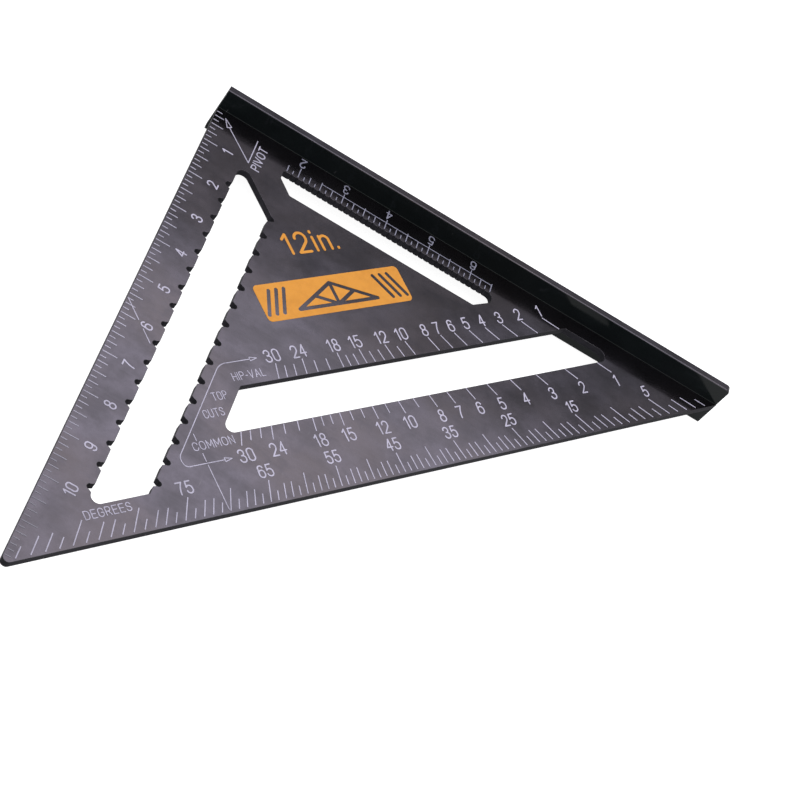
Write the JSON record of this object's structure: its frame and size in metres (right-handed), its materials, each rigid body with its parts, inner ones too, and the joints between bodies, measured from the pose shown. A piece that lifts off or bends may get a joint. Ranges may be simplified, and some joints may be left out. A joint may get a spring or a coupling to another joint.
{
  "type": "speed square",
  "caption": "Triangular aluminium layout square with a fence along one edge, notched windows and printed inch, degree and rafter scales.",
  "frame": {"origin": "pivot corner: where the leg edge meets the inner face of the fence, at the underside of the blade", "axes": "+X along the fence away from the pivot, -Y along the leg, +Z out of the printed face"},
  "size_m": [0.3048, 0.3054, 0.03],
  "materials": {
    "anodised_aluminium": "black anodised, satin, with faint extrusion grain",
    "pale_print": "thin pale grey ink",
    "orange_print": "thin orange ink"
  },
  "bodies": {
    "root": {"square_body": "anodised_aluminium", "leg_scale_marks": "pale_print", "leg_scale_numerals": "pale_print", "fence_scale_marks": "pale_print", "fence_scale_numerals": "pale_print", "degree_scale_marks": "pale_print", "degree_scale_numerals": "pale_print", "common_scale_marks": "pale_print", "common_scale_numerals": "pale_print", "hip_valley_scale_marks": "pale_print", "hip_valley_scale_numerals": "pale_print", "scale_captions": "pale_print", "pivot_mark": "pale_print", "caption_bracket": "pale_print", "square_cut_line": "pale_print", "size_label": "orange_print", "trade_badge": "orange_print"}
  },
  "joints": []
}
